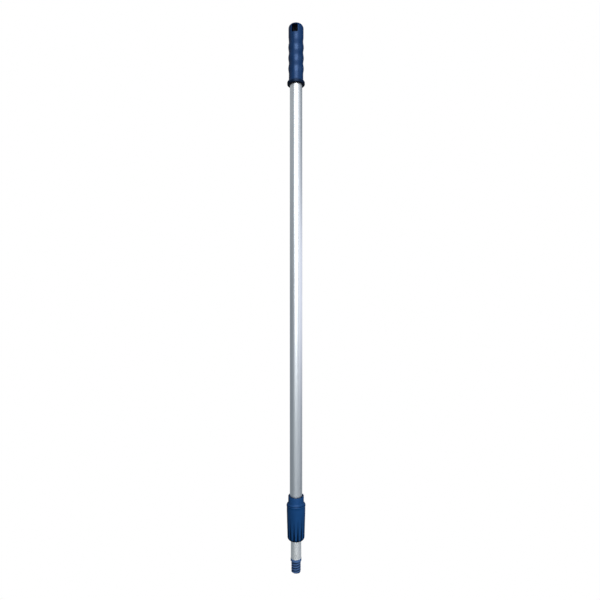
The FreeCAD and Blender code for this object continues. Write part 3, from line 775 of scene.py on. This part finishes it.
TIP_SEGMENTS = 192
TIP_PITCH = 5.08 * MM
TIP_DEPTH = 1.9 * MM
TIP_GROOVE_MOUTH = 3.15 * MM
TIP_GROOVE_FLOOR = 1.83 * MM
TIP_GROOVE_START = 26.435 * MM
TIP_TURN = math.radians(100.0)
TIP_CREST_ROUND = 0.25 * MM
TIP_RUN_OUT = 1.2 * MM
TIP_PLAIN = 0.1 * MM
TIP_ROOT = 0.02 * MM
JUST_OVER = 1.001
TIP_CHAMFER = 1.0 * MM
TIP_STEP = 0.16 * MM
TIP_FACE_STEP = 0.5 * MM
TIP_FACE_START = 1 * MM
TIP_HOLLOW_R = 4.5 * MM
TIP_HOLLOW_FLOOR = 8 * MM
COLLAR_EDGE = 0.5 * MM


def groove_depth(z, angle):
    """How deep a point is in the tip's right-hand groove: 0 on the crest, 1 on the groove's floor."""
    centre = TIP_GROOVE_MOUTH / 2 - TIP_GROOVE_START
    turns = (z - centre) / TIP_PITCH - (angle - TIP_TURN) / FULL_TURN
    away = abs(turns - round(turns)) * TIP_PITCH
    return 1 - smooth_step(TIP_GROOVE_FLOOR / 2, TIP_GROOVE_MOUTH / 2, away)


def run_out(z):
    """0 at the collar, rising to 1 where the groove has its full depth."""
    return smooth_step(-TIP_PLAIN, -TIP_RUN_OUT, z) if z > -TIP_RUN_OUT else 1.0


def tip_relief(radius, z, angle):
    """Wind the thread's groove round the tip below its collar."""
    if radius < TIP_CREST_R - TIP_DEPTH or radius > TIP_CREST_R * JUST_OVER or z > -TIP_ROOT:
        return radius, z
    wall = TIP_CREST_R - TIP_DEPTH * (groove_depth(z, angle) * run_out(z))
    return smooth_min(radius, wall, TIP_CREST_ROUND), z


def tip_outline():
    stem = INNER_R - WALL - FIT
    shoulder = (TIP_CREST_R, TIP_END + TIP_CHAMFER)
    nose = (TIP_CREST_R - TIP_CHAMFER, TIP_END)
    hollow_floor = TIP_END + TIP_HOLLOW_FLOOR
    return [
        (0.0, TIP_END), *straight((TIP_FACE_START, TIP_END), nose, TIP_FACE_STEP),
        *straight(nose, shoulder, TIP_STEP), *straight(shoulder, (TIP_CREST_R, 0.0), TIP_STEP),
        (TIP_CREST_R, 0.0), (COLLAR_R - COLLAR_EDGE, 0.0),
        *arc((COLLAR_R - COLLAR_EDGE, COLLAR_EDGE), COLLAR_EDGE, -90, 0, count=4),
        *arc((COLLAR_R - COLLAR_EDGE, TUBE_FOOT - COLLAR_EDGE), COLLAR_EDGE, 0, 90, count=4),
        (stem, TUBE_FOOT), (stem, TIP_STEM_TOP), (TIP_HOLLOW_R, TIP_STEM_TOP),
        (TIP_HOLLOW_R, hollow_floor), (0.0, hollow_floor)]


def make_tip():
    piece = lathe("threaded_tip_looks", tip_outline(), TIP_SEGMENTS, sharp=50, relief=tip_relief)
    dress(piece, "inner_section", TIP_PLASTIC, "threaded_tip")


# ---------------------------------------------------------------- hidden pieces keep their CAD shape

def repaint_hidden():
    for node in ("tube_plug", "clamping_collet", "slip_washer", "guide_plug", "guide_ring"):
        repaint(node, NATURAL_PLASTIC)
    repaint("tip_rivet", RIVET_METAL)
    repaint("tip_rivet_mandrel", PIN_METAL)
    repaint("plug_pin", PIN_METAL)


# ---------------------------------------------------------------- floor and lamps

FLOOR_GAP = 0.02
FLOOR_REACH = 30.0
LAMP_SIZE = (0.7, 1.6)
LAMP_DISTANCE = 1.6
LAMP_HEIGHT = 0.85
LAMP_AIM = Vector((0, 0, 0.5))
WHITE = (1.0, 1.0, 1.0, 1.0)


def pale_emission(name):
    """A material that is plain white whatever light falls on it."""
    material = bpy.data.materials.new(name)
    material.use_nodes = True
    material.node_tree.nodes.clear()
    nodes = Nodes(material.node_tree)
    glow = nodes.node("ShaderNodeEmission", {"Color": WHITE, "Strength": 1.0})
    nodes.node("ShaderNodeOutputMaterial", {"Surface": glow.outputs["Emission"]})
    return material


def make_floor():
    """A plain pale floor, just below the tip of the fully drawn-out pole."""
    slide = next(joint for joint in frame["joints"] if joint["name"] == "inner_slide")
    height = TIP_END - slide["range_m"][1] - FLOOR_GAP
    corners = [(x * FLOOR_REACH, y * FLOOR_REACH, height) for x, y in ((-1, -1), (1, -1), (1, 1), (-1, 1))]
    mesh = bpy.data.meshes.new("floor")
    mesh.from_pydata(corners, [], [(0, 1, 2, 3)])
    mesh.materials.append(pale_emission("pale_floor"))
    floor = bpy.data.objects.new("floor", mesh)
    bpy.context.scene.collection.objects.link(floor)
    floor.visible_glossy = False
    floor.visible_diffuse = False


def around(turn_deg, distance, height):
    """A place at an angle round the pole, counted from the photograph's camera to its right."""
    angle = CAMERA_FACING + math.radians(turn_deg)
    return Vector((math.cos(angle) * distance, math.sin(angle) * distance, height))


def diffuser(name, turn_deg, watts):
    """A tall soft light at an angle round the pole, too matt to show in the metal."""
    data = bpy.data.lights.new(name, "AREA")
    data.shape = "RECTANGLE"
    data.size, data.size_y = LAMP_SIZE
    data.energy = watts
    lamp = bpy.data.objects.new(name, data)
    lamp.location = around(turn_deg, LAMP_DISTANCE, LAMP_HEIGHT)
    lamp.rotation_euler = (LAMP_AIM - lamp.location).to_track_quat("-Z", "Y").to_euler()
    lamp.visible_glossy = False
    bpy.context.scene.collection.objects.link(lamp)


# ---------------------------------------------------------------- studio light from all round

NEUTRAL = (1.0, 1.0, 1.0)
WARM = (1.02, 1.0, 0.95)
COOL = (0.88, 0.98, 1.06)
VIOLET = (0.97, 0.95, 1.08)
BEYOND = 400
ALL_ROUND = (-BEYOND, BEYOND)


class Studio(Nodes):
    """Soft light set by direction: azimuth from the photograph's camera, and elevation, in degrees."""

    def __init__(self, tree):
        super().__init__(tree)
        towards = self.node("ShaderNodeTexCoord").outputs["Generated"]
        turned = self.node("ShaderNodeVectorRotate", {"Vector": towards, "Angle": -CAMERA_FACING},
                           rotation_type="Z_AXIS")
        parts = self.node("ShaderNodeSeparateXYZ", {"Vector": turned.outputs["Vector"]})
        azimuth = self.math("ARCTAN2", parts.outputs["Y"], parts.outputs["X"])
        self.azimuth = self.math("DEGREES", azimuth)
        self.elevation = self.math("DEGREES", self.math("ARCSINE", parts.outputs["Z"]))
        self.light = None

    def window(self, value, low, high, soft):
        """1 between two angles, 0 outside them, easing over a soft edge."""
        rise = self.between(value, low - soft, low + soft, 0.0, 1.0, "SMOOTHSTEP")
        fall = self.between(value, high - soft, high + soft, 1.0, 0.0, "SMOOTHSTEP")
        return self.math("MULTIPLY", rise, fall)

    def panel(self, colour, strength, azimuths, elevations, soft):
        """Add a soft-edged panel of light between two azimuths and two elevations."""
        share = self.math("MULTIPLY", self.window(self.azimuth, *azimuths, soft),
                          self.window(self.elevation, *elevations, soft))
        glow = self.node("ShaderNodeVectorMath", {
            "Vector": colour, "Scale": self.math("MULTIPLY", share, strength)}, operation="SCALE")
        if self.light is not None:
            glow = self.node("ShaderNodeVectorMath", {
                0: self.light, 1: glow.outputs["Vector"]}, operation="ADD")
        self.light = glow.outputs["Vector"]


def light_surroundings(studio):
    """Dim cool light from all round, dimmest from the ground, and a little more from the front below."""
    studio.panel(COOL, 0.06, ALL_ROUND, ALL_ROUND, soft=1)
    studio.panel(COOL, 0.23, ALL_ROUND, (-38, BEYOND), soft=8)
    studio.panel(COOL, 0.10, (-40, 80), (-38, -6), soft=10)


def light_front(studio):
    """The key light: a wide panel in front with a bright heart, low enough for the grip's bulges."""
    studio.panel(NEUTRAL, 0.75, (-34, 44), (-5, 60), soft=14)
    studio.panel(NEUTRAL, 2.7, (-18, 26), (3, 23), soft=8)
    studio.panel(NEUTRAL, 1.3, (-18, 26), (4, 40), soft=10)


def light_edges(studio):
    """Light from overhead, a warm left side, a neutral right side, and a thin violet line on the right."""
    studio.panel(NEUTRAL, 3.0, (-60, 60), (60, 120), soft=10)
    studio.panel(WARM, 0.22, (-160, -60), (12, 60), soft=14)
    studio.panel(NEUTRAL, 0.45, (44, 86), (-3, 36), soft=14)
    studio.panel(VIOLET, 1.4, (50, 150), (-4, 7), soft=12)


def make_world():
    """White behind the pole for the camera, and the studio's light for the pole."""
    world = bpy.data.worlds.new("studio")
    world.use_nodes = True
    world.node_tree.nodes.clear()
    bpy.context.scene.world = world
    studio = Studio(world.node_tree)
    light_surroundings(studio)
    light_front(studio)
    light_edges(studio)
    lit = studio.node("ShaderNodeBackground", {"Color": studio.light, "Strength": 1.0})
    white = studio.node("ShaderNodeBackground", {"Color": WHITE, "Strength": 1.0})
    seen = studio.node("ShaderNodeLightPath").outputs["Is Camera Ray"]
    mixed = studio.node("ShaderNodeMixShader", {
        "Fac": seen, 1: lit.outputs["Background"], 2: white.outputs["Background"]})
    studio.node("ShaderNodeOutputWorld", {"Surface": mixed.outputs["Shader"]})
    bpy.context.scene.view_settings.view_transform = "Standard"


# ---------------------------------------------------------------- camera

CAMERA_DISTANCE = 0.927
CAMERA_HEIGHT = 0.524
CAMERA_ASIDE = 0.008
SENSOR_MM = 36.0
FOCAL_SHARE = 460.0 / 600.0


def make_camera():
    """A level camera at the pole's mid height. FOCAL_SHARE is its focal length over its sensor's width."""
    data = bpy.data.cameras.new("camera")
    data.sensor_width = SENSOR_MM
    data.lens = SENSOR_MM * FOCAL_SHARE
    camera = bpy.data.objects.new("camera", data)
    back = around(0, CAMERA_DISTANCE, 0.0)
    right = Vector((math.cos(CAMERA_TURN), math.sin(CAMERA_TURN), 0.0))
    camera.location = back + right * CAMERA_ASIDE + Vector((0, 0, CAMERA_HEIGHT))
    camera.rotation_euler = (-back).to_track_quat("-Z", "Y").to_euler()
    bpy.context.scene.collection.objects.link(camera)
    bpy.context.scene.camera = camera


make_outer_tube()
make_inner_tube()
make_grip()
make_nut()
make_sleeve()
make_tip()
repaint_hidden()
make_floor()
diffuser("front_diffuser", turn_deg=20, watts=55)
diffuser("back_diffuser", turn_deg=190, watts=40)
make_world()
make_camera()
